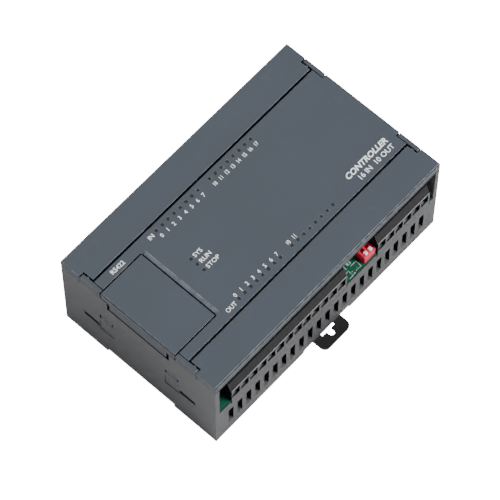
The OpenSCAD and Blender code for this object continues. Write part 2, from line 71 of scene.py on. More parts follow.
# Where one finish ends and the next begins. Heights are from the rail feet, and depths from the outer faces.
FLOOR_TOP = 4.0
SILL_TOP = BOARD_TOP - 10
VENT_TOP = BOARD_TOP - 3
LEDGE_LOW = BOARD_TOP + 6
BLOCK_SHADE = BOARD_TOP + 12.6
SNAP_TOP = TRAY_TOP - 5
SKIRT_SHADE = EAR_LOW + 0.6
EAR_SPLIT = EAR_LOW - 0.04
RECESS_LOW = 45.0
RECESS_SHADE = 48.72
RECESS_X = (20.0, 30.0)
SKIN = 0.1
RIM = 0.5
CHAMFER = 0.6

# How far a face's normal leans before it counts as level, sloping or upright.
LEVEL = 0.9
SLOPING = 0.3
UPRIGHT = 0.5

HOUSING_FINISHES = ("grey", "grey_edge", "slate", "skirt", "hollow", "sill")
COVER_FINISHES = ("slate", "slate_edge", "recess", "skirt", "gap", "long_skirt", "chamfer", "grey")
BLOCK_FINISHES = ("block", "block_edge", "grey", "ledge", "guide", "hollow")

# Softboxes: name, place and size in metres, and the setting that holds their power.
SOFTBOXES = (
    ("main_softbox", (0.25, 0.6, 1.05), (0.9, 0.9), "key"),
    ("side_softbox", (-1.0, 0.35, 0.5), (0.6, 0.5), "side"),
    ("front_softbox", (0.4, -0.8, 0.95), (0.5, 0.4), "front"),
)
CAMERA_PLACE = Vector((-0.41335948, -0.36579163, 1.13416428))
CAMERA_RIGHT = Vector((0.67095562, -0.74149211, 0.00282965))
CAMERA_UP = Vector((0.66348132, 0.60206097, 0.44420167))
FLOOR_REACH = 3.0
FLOOR_DROP = 0.02

# The liner behind the vents: its distance in from the housing, thickness, lower and upper edge, and cut corners.
LINER_INSET = 2.7
LINER_THICK = 0.3
LINER_LOW = 4.35
LINER_HIGH = 21.6
LINER_CUT = 7.8

# Print on the centre cover. Narrow digits make two-digit numbers fit between the lights.
LIGHT_PITCH = 3.36
LIGHT_HALF = 0.4
PRINT_LIFT = 0.002
PRINT_SINK = 0.004
WIDE_DIGIT, NARROW_DIGIT = 0.95, 0.76
THIN, BOLD = 0.012, 0.03
LEFT, MIDDLE, RIGHT = 0.0, 0.5, 1.0
STATUS_WORDS = (("SYS", 43.75), ("RUN", 40.35), ("STOP", 36.95))

# Board print and small parts on the bare stretch between the output blocks.
OUTLINES = ((78.4, 1.0, 80.4, 3.6), (82.6, 1.6, 85.6, 4.4), (78.0, 11.2, 80.6, 13.4))
OUTLINE_WIDTH = 0.16
BOARD_MARKS = (("1", 76.6, 1.1, MIDDLE), ("2", 81.5, 1.1, MIDDLE), ("R3", 82.0, 5.2, LEFT))
BOARD_DIGIT = 1.5
RESISTORS = ((79.3, 12.3), (83.0, 12.3), (79.3, 15.0), (83.0, 15.0))
ROUND_PADS = (78.0, 80.0, 82.0, 84.0)
SWITCH_PITCH = 2.54

# CAD nodes that stay, and their finishes.
REPAINTED = (
    ("main_board", "board"), ("front_board", "board"), ("board_spacers", "brass"), ("board_screws", "steel"),
    ("board_link_socket", "part"), ("board_link_header", "gold"), ("power_capacitors", "can"),
    ("power_inductor", "part"), ("input_optocouplers", "part"), ("output_transistors", "part"),
    ("processor_chip", "part"), ("clock_crystal", "can"), ("indicator_leds", "lens"),
)


def spot(x, y, z):
    """A point of the row frame, from millimetres off the housing's corner."""
    return CORNER + Vector((x, y, z)) * MM


def colour(name, default, description):
    return FloatVectorProperty(name=name, description=description, subtype="COLOR",
                               size=3, min=0, max=1, default=default)


def length(name, default, description):
    return FloatProperty(name=name, description=description, default=default,
                         min=0, subtype="DISTANCE", unit="LENGTH")


class ControllerFinishes(bpy.types.PropertyGroup):
    """Colours and surface of the moulded, printed and metal parts."""

    cover: colour("Covers", (0.040, 0.051, 0.066), "Slate plastic of the doors, flap and centre cover")
    housing: colour("Housing", (0.039, 0.0395, 0.0425), "Grey plastic of the housing")
    terminal: colour("Terminal blocks", (0.0125, 0.0120, 0.0125), "Dark grey plastic of the terminal blocks")
    clip: colour("Rail clip", (0.010, 0.0095, 0.010), "Black plastic of the rail clip")
    ink: colour("Print", (0.88, 0.90, 0.91), "White ink of the lettering")
    board: colour("Boards", (0.003, 0.085, 0.048), "Green solder mask of the boards")
    switch: colour("Switch body", (0.70, 0.012, 0.060), "Red plastic of the small switch")
    lever: colour("Levers", (0.86, 0.85, 0.82), "White plastic of the levers")
    grain: length("Grain", 0.00042, "Size of the spark-eroded grain on the mouldings")
    grain_depth: length("Grain depth", 0.00003, "Depth of the grain")


class ControllerSizes(bpy.types.PropertyGroup):
    """Edge roundings and print of the parts."""

    cover_edge: length("Cover edges", 0.0003, "Rounding of the doors', flap's and cover's edges")
    housing_edge: length("Housing edges", 0.00028, "Rounding of the housing's edges")
    block_edge: length("Block edges", 0.00012, "Rounding of the terminal blocks' edges")
    small_edge: length("Small edges", 0.00008, "Rounding of screws, clamps and switch parts")
    edge_steps: IntProperty(name="Edge steps", description="Facets across each rounding", default=3,
                            min=1, max=6)
    digit_height: length("Digit height", 0.0018, "Height of the channel numbers")
    word_height: length("Word height", 0.0019, "Height of the printed words")
    ink_thickness: length("Ink thickness", 0.00003, "How far the print stands on the cover")
    port_word: StringProperty(name="Port word", description="Word beside the port flap", default="RS422")


class ControllerStudio(bpy.types.PropertyGroup):
    """Camera, floor and lights."""

    lens: FloatProperty(name="Lens", description="Focal length of the camera", default=228.54,
                        min=10, subtype="DISTANCE_CAMERA", unit="CAMERA")
    floor: colour("Floor", (0.93, 0.93, 0.93), "Pale floor")
    floor_glow: FloatProperty(name="Floor glow", description="Brightness of the floor, as on a light table",
                              default=22.0, min=0)
    floor_clear: FloatProperty(name="Floor clearness", default=0.8, min=0, max=1, subtype="FACTOR",
                               description="How far the glow hides shadows on the floor")
    key: FloatProperty(name="Main light", default=6, min=0, unit="POWER",
                       description="Power of the large softbox above")
    front: FloatProperty(name="Front light", default=22, min=0, unit="POWER",
                         description="Power of the softbox on the output side")
    side: FloatProperty(name="Side light", default=4.5, min=0, unit="POWER",
                        description="Power of the softbox at the flap's end")
    sky: FloatProperty(name="Surroundings", default=0.26, min=0,
                       description="Strength of the even light all round")


# ---- Node materials ----

class Value:
    """A shader socket. Arithmetic on it adds Math nodes to its material."""

    def __init__(self, paint, socket):
        self.paint = paint
        self.socket = socket

    def math(self, operation, first, second):
        return self.paint.node("ShaderNodeMath", {"operation": operation}, {0: first, 1: second})

    def __add__(self, other):
        return self.math("ADD", self, other)

    def __sub__(self, other):
        return self.math("SUBTRACT", self, other)

    def __rsub__(self, other):
        return self.math("SUBTRACT", other, self)

    def __mul__(self, other):
        return self.math("MULTIPLY", self, other)

    __radd__ = __add__
    __rmul__ = __mul__

    def between(self, low, high):
        """0 below low, 1 above high."""
        return self.paint.node("ShaderNodeMapRange", {"interpolation_type": "SMOOTHSTEP"},
                               {"Value": self, "From Min": low, "From Max": high})


class Paint:
    """One node material on a principled shader."""

    def __init__(self, name, **fixed):
        self.material = bpy.data.materials.new(name)
        self.material.use_nodes = True
        self.tree = self.material.node_tree
        self.shader = self.tree.nodes["Principled BSDF"]
        for socket, value in fixed.items():
            self.shader.inputs[socket.replace("_", " ")].default_value = value
        self.place = self.node("ShaderNodeTexCoord", output="Object")

    def node(self, kind, settings=None, inputs=None, output=0):
        """Adds a node: its settings first, then the values or links of its sockets."""
        node = self.tree.nodes.new(kind)
        for name, value in (settings or {}).items():
            setattr(node, name, value)
        for name, value in (inputs or {}).items():
            self.give(node.inputs[name], value)
        return Value(self, node.outputs[output])

    def give(self, socket, value):
        if isinstance(value, Value):
            self.tree.links.new(value.socket, socket)
        else:
            socket.default_value = value

    def feed(self, name, value):
        self.give(self.shader.inputs[name], value)

    def stretched(self, x, y, z):
        return self.node("ShaderNodeVectorMath", {"operation": "MULTIPLY"}, {0: self.place, 1: (x, y, z)})

    def noise(self, size, detail=2.0, place=None, roughness=0.5):
        return self.node("ShaderNodeTexNoise", {"noise_dimensions": "3D"},
                         {"Vector": place or self.place, "Scale": 1 / size, "Detail": detail,
                          "Roughness": roughness})

    def cells(self, size):
        return self.node("ShaderNodeTexVoronoi", {"feature": "F1"},
                         {"Vector": self.place, "Scale": 1 / size}, "Distance")

    def blend(self, factor, first, second):
        """A colour from first, where factor is 0, to second."""
        return self.node("ShaderNodeMix", {"data_type": "RGBA"},
                         {0: factor, 6: with_alpha(first), 7: with_alpha(second)}, 2)

    def bump(self, height, depth, strength=1.0):
        normal = self.node("ShaderNodeBump", None,
                           {"Height": height, "Distance": depth, "Strength": strength})
        self.feed("Normal", normal)


def with_alpha(tone):
    return tone if isinstance(tone, Value) else (*tone[:3], 1.0)


def shade(tone, factor):
    """A plain colour, lighter or darker."""
    return tuple(min(1.0, part * factor) for part in tone[:3])


def towards(tone, other, share):
    return tuple(a + (b - a) * share for a, b in zip(tone[:3], other[:3]))


def moulded(name, tone, roughness, grain=None, depth=None, sheen=0.0, flow=0.012, gloss=0.42):
    """Spark-eroded moulded plastic: fine grain, faint flow marks and a few rubbed places."""
    finishes = bpy.context.scene.controller_finishes
    grain = grain or finishes.grain
    depth = depth or finishes.grain_depth
    paint = Paint(name, Specular_IOR_Level=gloss, Sheen_Weight=sheen, Sheen_Roughness=0.45)
    cloud = paint.noise(0.034, 3.0, paint.stretched(0.7, 1.0, 1.0))
    marks = paint.noise(flow, 4.0, paint.stretched(0.35, 1.6, 1.0), 0.6)
    speck = paint.noise(grain, 2.0)
    pits = paint.cells(grain * 1.35)
    rubbed = paint.noise(0.0045, 5.0, paint.stretched(1.0, 0.25, 1.0), 0.7).between(0.62, 0.78)
    tone_mix = (cloud * 0.5 + marks * 0.28 + speck * 0.22).between(0.25, 0.75)
    body = paint.blend(tone_mix, shade(tone, 0.93), shade(tone, 1.08))
    paint.feed("Base Color", paint.blend(rubbed * 0.22, body, towards(tone, (0.4, 0.42, 0.44), 0.12)))
    paint.feed("Roughness", roughness + (speck - 0.5) * 0.14 - rubbed * 0.08 + (marks - 0.5) * 0.06)
    paint.bump(speck * 0.6 + pits * 0.4, depth, 0.55)
    return paint.material


def rubbed_edge(name, tone, roughness, lift):
    """The same plastic on a rounded edge, lighter as a painted highlight, and palest in patches where hands and
    packing have rubbed it.
    """
    paint = Paint(name, Specular_IOR_Level=0.5)
    wear = paint.noise(0.0032, 4.0, None, 0.65).between(0.3, 0.72)
    nick = paint.noise(0.0009, 2.0).between(0.6, 0.8)
    # Painted highlight: lift draws the edge's tone towards pale grey, and the wear and nick masks take it
    # palest.
    polish_and_highlight = towards(tone, (0.5, 0.52, 0.55), lift)
    paint.feed("Base Color", paint.blend(wear * 0.75 + nick * 0.25, shade(tone, 1.05), polish_and_highlight))
    paint.feed("Roughness", roughness - wear * 0.12)
    paint.bump(nick, 0.00002, 0.4)
    return paint.material


def plated(name, tone, roughness, brush=None, stain=0.15, metallic=1.0):
    """Plated metal with fine turning marks and dull patches."""
    paint = Paint(name, Metallic=metallic)
    lines = paint.noise(0.00028, 3.0, paint.stretched(*(brush or (1.0, 1.0, 6.0))))
    dull = paint.noise(0.0022, 4.0, None, 0.6).between(0.45, 0.72)
    paint.feed("Base Color", paint.blend(dull * stain + lines * 0.12, tone, shade(tone, 0.55)))
    paint.feed("Roughness", roughness + dull * 0.2 + (lines - 0.5) * 0.15)
    paint.bump(lines, 0.000012, 0.5)
    return paint.material


def solder_mask(name, tone):
    """Green mask over copper: tracks show as faintly lighter, raised runs."""
    paint = Paint(name, Specular_IOR_Level=0.5)
    lanes = paint.node("ShaderNodeTexBrick", {"offset": 0.37, "squash": 1.0},
                       {"Vector": paint.place, "Scale": 1.0, "Mortar Size": 0.00016, "Mortar Smooth": 0.2,
                        "Brick Width": 0.0081, "Row Height": 0.00127}, "Fac")
    weave = paint.cells(0.0011)
    cloud = paint.noise(0.02, 3.0)
    body = paint.blend(cloud.between(0.3, 0.7) * 0.5 + weave * 0.3, shade(tone, 0.85), shade(tone, 1.2))
    paint.feed("Base Color", paint.blend(lanes * 0.55, body, shade(tone, 1.9)))
    paint.feed("Roughness", 0.34 + cloud * 0.12)
    paint.bump(lanes + weave * 0.15, 0.00003, 0.6)
    return paint.material


def inked(name, tone):
    """Pad-printed ink, thin enough to show the grain below it."""
    paint = Paint(name, Specular_IOR_Level=0.35)
    thin = paint.noise(0.0005, 3.0).between(0.58, 0.8)
    paint.feed("Base Color", paint.blend(thin * 0.4, tone, shade(tone, 0.55)))
    paint.feed("Roughness", 0.55 + thin * 0.2)
    paint.bump(thin, 0.000008, 0.5)
    return paint.material


def smoked(name, tone, roughness):
    """Smoked clear plastic of the light pipes, unlit."""
    paint = Paint(name, IOR=1.49, Coat_Roughness=0.08, Specular_IOR_Level=0.3)
    cloud = paint.noise(0.0009, 3.0)
    rim = paint.cells(0.0007)
    paint.feed("Base Color", paint.blend(cloud.between(0.35, 0.7), shade(tone, 0.6), shade(tone, 1.6)))
    paint.feed("Roughness", roughness + cloud * 0.2)
    paint.feed("Coat Weight", 0.05 + rim * 0.1)
    paint.bump(rim, 0.00003, 0.5)
    return paint.material


def finish_table():
    """Every material by the name used in the piece tables."""
    finishes = bpy.context.scene.controller_finishes
    cover, housing, block = finishes.cover[:], finishes.housing[:], finishes.terminal[:]
    return {
        "slate": moulded("slate_cover_plastic", cover, 0.52, sheen=0.12),
        "slate_edge": rubbed_edge("slate_cover_edge", cover, 0.42, 0.42),
        "grey": moulded("grey_housing_plastic", housing, 0.56, sheen=0.1),
        "grey_edge": rubbed_edge("grey_housing_edge", housing, 0.48, 0.2),
        # Darker than the housing; on the steep faces under the doors the darkness is partly painted shade.
        "block": moulded("grey_terminal_plastic", block, 0.55, depth=0.00002, gloss=0.22),
        "block_edge": rubbed_edge("grey_terminal_edge", block, 0.42, 0.2),
        # Painted highlight: the thin bright line along the terminal blocks' ledge.
        "ledge": rubbed_edge("polished_terminal_ledge", (0.34, 0.35, 0.37), 0.3, 0.6),
        # Painted light: the mouths' floors, far paler than the housing, as if lit from the front.
        "guide": moulded("smooth_wire_guide", shade(housing, 5.5), 0.5),
        # Painted light: the vents' sills, paler than the housing, as if lit from the front.
        "sill": moulded("vent_sill_plastic", shade(housing, 2.6), 0.5),
        # Painted shade: near black for the vents' sides, the housing's inside, under the flap, the blocks' strip
        # under the doors and the mouths' side walls.
        "hollow": moulded("shaded_recess_plastic", shade(block, 0.2), 0.75, gloss=0.05),
        # Painted highlight on the finger recess's slope.
        "recess": rubbed_edge("polished_finger_recess", shade(cover, 1.7), 0.36, 0.25),
        # Painted shade: the chamfers, the end and long skirts and the faces in the gaps are darker copies of the
        # cover's slate.
        "chamfer": moulded("slate_chamfer_plastic", shade(cover, 0.3), 0.6, gloss=0.12),
        "skirt": moulded("slate_end_skirt_plastic", shade(cover, 0.66), 0.5),
        "long_skirt": moulded("slate_long_skirt_plastic", shade(cover, 0.5), 0.5),
        "gap": moulded("slate_plastic_in_the_gaps", shade(cover, 0.14), 0.7, gloss=0.08),
        "black": moulded("black_clip_plastic", finishes.clip[:], 0.42, depth=0.00002),
        "black_edge": rubbed_edge("black_clip_edge", finishes.clip[:], 0.36, 0.12),
        "part": moulded("black_component_plastic", (0.018, 0.018, 0.020), 0.5, grain=0.0003),
        "part_edge": rubbed_edge("black_component_edge", (0.018, 0.018, 0.020), 0.45, 0.08),
        "red": moulded("red_switch_plastic", finishes.switch[:], 0.36, grain=0.0003, depth=0.00001),
        "red_edge": rubbed_edge("red_switch_edge", finishes.switch[:], 0.3, 0.12),
        "white": moulded("white_lever_plastic", finishes.lever[:], 0.4, grain=0.0003, depth=0.00001),
        "white_edge": rubbed_edge("white_lever_edge", finishes.lever[:], 0.34, 0.1),
        "steel": plated("zinc_plated_steel", (0.60, 0.61, 0.62), 0.34),
        "tin": plated("tinned_brass", (0.66, 0.65, 0.60), 0.3, (6.0, 1.0, 1.0)),
        "brass": plated("turned_brass", (0.72, 0.52, 0.22), 0.28, (1.0, 1.0, 8.0)),
        "gold": plated("gold_contact_plating", (0.95, 0.70, 0.28), 0.2),
        "nickel": plated("nickel_plated_shell", (0.58, 0.57, 0.55), 0.24, (1.0, 1.0, 9.0), 0.1),
        "can": plated("aluminium_capacitor_can", (0.72, 0.72, 0.73), 0.3, (1.0, 1.0, 5.0), 0.08),
        "board": solder_mask("green_solder_mask", finishes.board[:]),
        "ink": inked("white_pad_print", finishes.ink[:]),
        "silk": inked("white_board_print", (0.72, 0.76, 0.72)),
        "smoke": smoked("smoked_light_pipe", (0.010, 0.011, 0.012), 0.5),
        "lens": smoked("unlit_led_lens", (0.45, 0.47, 0.42), 0.22),
    }


MATERIALS = {}


def finish(name):
    if not MATERIALS:
        MATERIALS.update(finish_table())
    return MATERIALS[name]


# ---- Mesh helpers ----

def add_piece(name, mesh, body, materials, replaces=()):
    """Puts a mesh in the scene as a piece that rides on a body."""
    piece = bpy.data.objects.new(name, mesh)
    bpy.context.scene.collection.objects.link(piece)
    for material in materials:
        mesh.materials.append(finish(material))
    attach(piece, body)
    if replaces:
        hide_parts(*replaces)
    return piece


def welded(node, split_at=()):
    """The CAD node's surface as a bmesh without stray triangles, its faces cut at the heights of split_at."""
    source = NODES[node].data
    mesh = bpy.data.meshes.new("scratch")
    mesh.from_pydata([v.co for v in source.vertices], [], [p.vertices[:] for p in source.polygons])
    solid = bmesh.new()
    solid.from_mesh(mesh)
    bpy.data.meshes.remove(mesh)
    bmesh.ops.remove_doubles(solid, verts=solid.verts, dist=2e-6)
    bmesh.ops.dissolve_limit(solid, angle_limit=math.radians(0.7), use_dissolve_boundaries=False,
                             verts=solid.verts, edges=solid.edges)
    bmesh.ops.recalc_face_normals(solid, faces=solid.faces)
    for height in split_at:
        plane = spot(0, 0, height)
        bmesh.ops.bisect_plane(solid, geom=solid.verts[:] + solid.edges[:] + solid.faces[:], dist=1e-7,
                               plane_co=plane, plane_no=(0, 0, 1))
    bmesh.ops.triangulate(solid, faces=[face for face in solid.faces if len(face.verts) > 4],
                          quad_method="BEAUTY", ngon_method="BEAUTY")
    return solid


def from_corner(point):
    """A point of the row frame in millimetres off the housing's corner."""
    return (Vector(point) - CORNER) / MM


def weigh_edges(solid, radius, soften):
    """Marks outer corners for rounding, less where a face beside them is narrow.
    Inner corners stay sharp. soften gives an edge's share of the rounding from its middle and direction."""
    weights = solid.edges.layers.float.new("bevel_weight_edge")
    corner = math.radians(28)
    sharp = {}
    for edge in solid.edges:
        edge.smooth = True
        if len(edge.link_faces) != 2:
            continue
        angle = edge.calc_face_angle_signed(0)
        if abs(angle) > corner:
            sharp[edge] = angle
    for edge, angle in sharp.items():
        if angle < 0:
            edge.smooth = False
            continue
        room = edge.calc_length()
        for face in edge.link_faces:
            room = min(room, face.calc_area() / edge.calc_length())
        for vert in edge.verts:
            for other in vert.link_edges:
                if other is not edge and other in sharp:
                    room = min(room, other.calc_length())
        share = 1.0
        if soften:
            ends = [from_corner(vert.co) for vert in edge.verts]
            share = soften((ends[0] + ends[1]) / 2, (ends[1] - ends[0]).normalized())
        edge[weights] = max(0.02, min(share, 0.38 * room / radius))
    even_out(sharp, weights)
    for face in solid.faces:
        face.smooth = True


def even_out(sharp, weights):
    """Gives the edges along one curve the same rounding."""
    straight = math.cos(math.radians(40))
    changed = True
    while changed:
        changed = False
        for edge in sharp:
            for vert in edge.verts:
                for other in vert.link_edges:
                    if other is edge or other not in sharp or other[weights] <= edge[weights] * 1.001:
                        continue
                    mine = (edge.other_vert(vert).co - vert.co).normalized()
                    if -mine.dot((other.other_vert(vert).co - vert.co).normalized()) > straight:
                        other[weights] = edge[weights]
                        changed = True


def rounded_piece(node, name, body, materials, radius, steps=None, soften=None, choose=None,
                  split_at=()):
    """A CAD node's shape with its outer edges rounded, in place of the node.
    The second material is the roundings', and choose names a face's material from its middle and normal."""
    solid = welded(node, split_at)
    weigh_edges(solid, radius, soften)
    if choose:
        for face in solid.faces:
            face.material_index = materials.index(choose(from_corner(face.calc_center_median()), face.normal))
    mesh = bpy.data.meshes.new(name)
    solid.to_mesh(mesh)
    solid.free()
    piece = add_piece(name, mesh, body, materials, (node,))
    rounding = piece.modifiers.new("Rounded edges", "BEVEL")
    rounding.width = radius
    rounding.segments = steps or bpy.context.scene.controller_sizes.edge_steps
    rounding.limit_method = "WEIGHT"
    rounding.use_clamp_overlap = False
    rounding.harden_normals = True
    rounding.material = 1 if len(materials) > 1 else -1
    return piece


def slab(solid, outline, low, high):
    """A closed flat-topped solid over an outline, its top edge drawn in a little."""
    middle = sum((Vector((x, y)) for x, y in outline), Vector((0, 0))) / len(outline)
    drawn = [middle + (Vector((x, y)) - middle) * 0.96 for x, y in outline]
    rings = [[solid.verts.new(spot(x, y, z)) for x, y in ring]
             for ring, z in ((outline, low), (outline, low + (high - low) * 0.7), (drawn, high))]
    solid.faces.new(list(reversed(rings[0])))
    solid.faces.new(rings[-1])
    count = len(outline)
    for under, over in zip(rings, rings[1:]):
        for i in range(count):
            j = (i + 1) % count
            solid.faces.new((under[i], under[j], over[j], over[i]))


def rectangle(x0, y0, x1, y1):
    return [(x0, y0), (x1, y0), (x1, y1), (x0, y1)]


def ring_of(x, y, radius, count=16):
    return [(x + radius * math.cos(2 * math.pi * i / count), y + radius * math.sin(2 * math.pi * i / count))
            for i in range(count)]


def stroke(solid, start, end, width, low, high):
    """A straight printed line with square ends."""
    a, b = Vector(start), Vector(end)
    along = (b - a).normalized() * width / 2
    across = Vector((-along.y, along.x))
    outline = (a - along - across, b + along - across, b + along + across, a - along + across)
    slab(solid, [tuple(point) for point in outline], low, high)


def solid_piece(name, solid, body, materials):
    bmesh.ops.recalc_face_normals(solid, faces=solid.faces)
    mesh = bpy.data.meshes.new(name)
    solid.to_mesh(mesh)
    solid.free()
    return add_piece(name, mesh, body, materials)


def word_mesh(word, height, thickness, bold, slant):
    """A word as a thin closed slab, its capitals height tall, standing on y = 0 from x = 0."""
    curve = bpy.data.curves.new(word, "FONT")
    curve.body = word
    curve.size = 1.0
    curve.extrude = 0.5
    curve.offset = bold
    curve.shear = slant
    curve.resolution_u = 3
    letters = bpy.data.objects.new(word, curve)
    bpy.context.scene.collection.objects.link(letters)
    bpy.context.view_layer.update()
    mesh = bpy.data.meshes.new_from_object(letters.evaluated_get(bpy.context.evaluated_depsgraph_get()))
    bpy.data.objects.remove(letters)
    bpy.data.curves.remove(curve)
    tall = max(v.co.y for v in mesh.vertices) - min(0.0, min(v.co.y for v in mesh.vertices))
    left = min(v.co.x for v in mesh.vertices)
    scale = height / tall
    mesh.transform(Matrix.Diagonal((scale, scale, thickness, 1)) @ Matrix.Translation((-left, 0, 0.5)))
    return mesh


def printed(name, words, body, level, thickness, material="ink"):
    """Print on a flat face. A word is its text, x, y and height, LEFT, MIDDLE or RIGHT for what x is,
    its width factor, its boldness and its slant."""
    solid = bmesh.new()
    for text, x, y, height, anchor, stretch, bold, slant in words:
        mesh = word_mesh(text, height, thickness / MM, bold, slant)
        wide = max(v.co.x for v in mesh.vertices) * stretch
        mesh.transform(Matrix.Translation(spot(x - wide * anchor, y, level))
                       @ Matrix.Scale(MM, 4) @ Matrix.Diagonal((stretch, 1, 1, 1)))
        solid.from_mesh(mesh)
        bpy.data.meshes.remove(mesh)
    bmesh.ops.remove_doubles(solid, verts=solid.verts, dist=1e-6)
    return solid_piece(name, solid, body, [material])


def repaint(node, material):
    """A better material on a CAD node that stays."""
    mesh = NODES[node].data
    for i in range(max(1, len(mesh.materials))):
        NODES[node].material_slots[i].material = finish(material)


# ---- One operator for each piece or group of like pieces ----

class CONTROLLER_OT_housing(bpy.types.Operator):
    """Builds the grey housing with its vents, feet and hinge ears"""

    bl_idname = "controller.housing"
    bl_label = "Housing"

    def execute(self, context):
        sizes = context.scene.controller_sizes
        rounded_piece("base_housing", "housing_shell", "housing", HOUSING_FINISHES,
                      sizes.housing_edge, soften=self.soften, choose=self.choose, split_at=(EAR_SPLIT,))
        self.liner()
        return {"FINISHED"}

    def soften(self, at, along):
        """Full rounding on the upright corners, less elsewhere, and least round the vents and ears."""
        end, side = min(at.x, WIDE - at.x), min(at.y, DEEP - at.y)
        if abs(along.z) > LEVEL and end < RIM and side < RIM:
            return 1.0
        if at.z > EAR_LOW or side < 2.5:
            return 0.3
        return 0.15 if at.x < WALL and at.z > TRAY_TOP else 0.5

    def choose(self, at, normal):
        """The ears match the doors beside them, with their upright faces darker as painted shade. The vents'
        sills are paler, as painted light, and the vents' sides, the inside and under the flap are dark, as
        painted shade.
        """
        if at.z > EAR_LOW:
            return "slate" if normal.z > SLOPING else "skirt"
        end, side = min(at.x, WIDE - at.x), min(at.y, DEEP - at.y)
        in_wall = SKIN < side < WALL
        if in_wall and normal.z > LEVEL and at.z < SILL_TOP:
            return "sill"
        in_vent = in_wall and abs(normal.x) > UPRIGHT and at.z < VENT_TOP
        under_flap = at.x < WALL and normal.z > LEVEL and at.z > TRAY_TOP - 1
        inside = end > WALL and side > WALL and at.z > FLOOR_TOP
        return "hollow" if under_flap or in_vent or inside else "grey"

    def liner(self):
        """A thin black sheet, folded into a frame that stands behind the vents. It is a dark sheet put there as
        painted shade, so that no light shows through the vents.
        """
        outer, inner = (self.liner_loop(gap) for gap in (LINER_INSET, LINER_INSET + LINER_THICK))
        solid = bmesh.new()
        levels = ((outer, LINER_LOW), (outer, LINER_HIGH), (inner, LINER_HIGH), (inner, LINER_LOW))
        rings = [[solid.verts.new(spot(x, y, z)) for x, y in loop] for loop, z in levels]
        for first, second in zip(rings, rings[1:] + rings[:1]):
            for i in range(len(first)):
                j = (i + 1) % len(first)
                solid.faces.new((first[i], first[j], second[j], second[i]))
        solid_piece("insulating_liner", solid, "housing", ["part"])

    def liner_loop(self, gap):
        """An oblong with cut corners, a gap inside the housing."""
        x0, y0, x1, y1, cut = gap, gap, WIDE - gap, DEEP - gap, LINER_CUT
        return [(x0 + cut, y0), (x1 - cut, y0), (x1, y0 + cut), (x1, y1 - cut), (x1 - cut, y1),
                (x0 + cut, y1), (x0, y1 - cut), (x0, y0 + cut)]


class CONTROLLER_OT_covers(bpy.types.Operator):
    """Builds the centre cover, the two terminal doors and the port flap"""

    bl_idname = "controller.covers"
    bl_label = "Covers, doors and flap"

    def execute(self, context):
        edge = context.scene.controller_sizes.cover_edge
        for node, name, body in (("centre_cover", "front_cover", "housing"),
                                 ("output_door", "output_side_door", "output_door"),
                                 ("input_door", "input_side_door", "input_door"),
                                 ("port_flap", "port_side_flap", "port_flap")):
            rounded_piece(node, name, body, COVER_FINISHES, edge, soften=self.soften,
                          choose=self.choose, split_at=(SKIRT_SHADE, RECESS_SHADE))
        return {"FINISHED"}

    def soften(self, at, along):
        """Full rounding on the upright outer corners, and about a third elsewhere."""
        end, side = min(at.x, WIDE - at.x), min(at.y, DEEP - at.y)
        return 1.0 if abs(along.z) > LEVEL and max(end, side) < 1 else 0.35

    def choose(self, at, normal):
        """The finger recess is brighter, as a painted highlight, with painted shade at its foot. Upright faces
        are darker and those in the gaps darkest, both as painted shade, and so are the chamfers and the long
        skirts' lowest strip.
        The snap arms match the housing's end walls, where they show in the windows."""
        end, side = min(at.x, WIDE - at.x), min(at.y, DEEP - at.y)
        beside_flap = RECESS_X[0] < at.x < RECESS_X[1] and at.z > RECESS_LOW
        # The recess's slope gets a painted highlight, and its foot painted shade.
        if beside_flap and normal.z > SLOPING and normal.x < -SLOPING:
            return "recess" if at.z > RECESS_SHADE else "gap"
        if at.z < SNAP_TOP:
            return "grey"
        if normal.z > SLOPING:
            return "chamfer" if normal.z < LEVEL and min(end, side) < CHAMFER else "slate"
        if min(end, side) > RIM:
            return "gap"
        if abs(normal.x) > UPRIGHT:
            return "skirt"
        return "long_skirt" if at.z > SKIRT_SHADE else "gap"


class CONTROLLER_OT_clip(bpy.types.Operator):
    """Builds the black rail clip with its pull hole"""

    bl_idname = "controller.clip"
    bl_label = "Rail clip"

    def execute(self, context):
        rounded_piece("rail_clip", "sprung_rail_clip", "rail_clip", ("black", "black_edge"),
                      context.scene.controller_sizes.block_edge)
        return {"FINISHED"}


class CONTROLLER_OT_terminals(bpy.types.Operator):
    """Builds the terminal blocks with their screws and wire clamps"""

    bl_idname = "controller.terminals"
    bl_label = "Terminal blocks"

    def execute(self, context):
        sizes = context.scene.controller_sizes
        for node, name in (("output_block_long", "output_terminals_long"),
                           ("output_block_short", "output_terminals_short"),
                           ("input_block_left", "input_terminals_left"),
                           ("input_block_right", "input_terminals_right")):
            rounded_piece(node, name, "housing", BLOCK_FINISHES, sizes.block_edge, 2,
                          choose=self.choose, split_at=(BLOCK_SHADE,))
        for side in ("output", "input"):
            rounded_piece(f"{side}_terminal_screws", f"{side}_clamping_screws", "housing",
                          ["steel"], sizes.small_edge, 2)
            rounded_piece(f"{side}_wire_clamps", f"{side}_clamp_cages", "housing",
                          ["tin"], sizes.small_edge, 1)
        return {"FINISHED"}

    def choose(self, at, normal):
        """The ribs' front faces match the housing, and the faces behind them take the darker block tone, partly
        painted shade under the doors. The ledge over them is a painted highlight, the mouths' floors are pale as
        painted light, and their side walls and the strip under the doors are painted shade.
        """
        depth = min(at.y, DEEP - at.y)
        if depth < SKIN:
            return "grey"
        # Painted shade on the strip in the doors' shadow and on the mouths' side walls.
        if at.z > BLOCK_SHADE or abs(normal.x) > LEVEL:
            return "hollow"
        if at.z > LEDGE_LOW:
            return "ledge" if depth < CHAMFER and normal.z > LEVEL else "block"
        # Painted light on the mouths' floors, painted shade on the faces beside them.
        return "guide" if normal.z > 0.4 else "hollow"


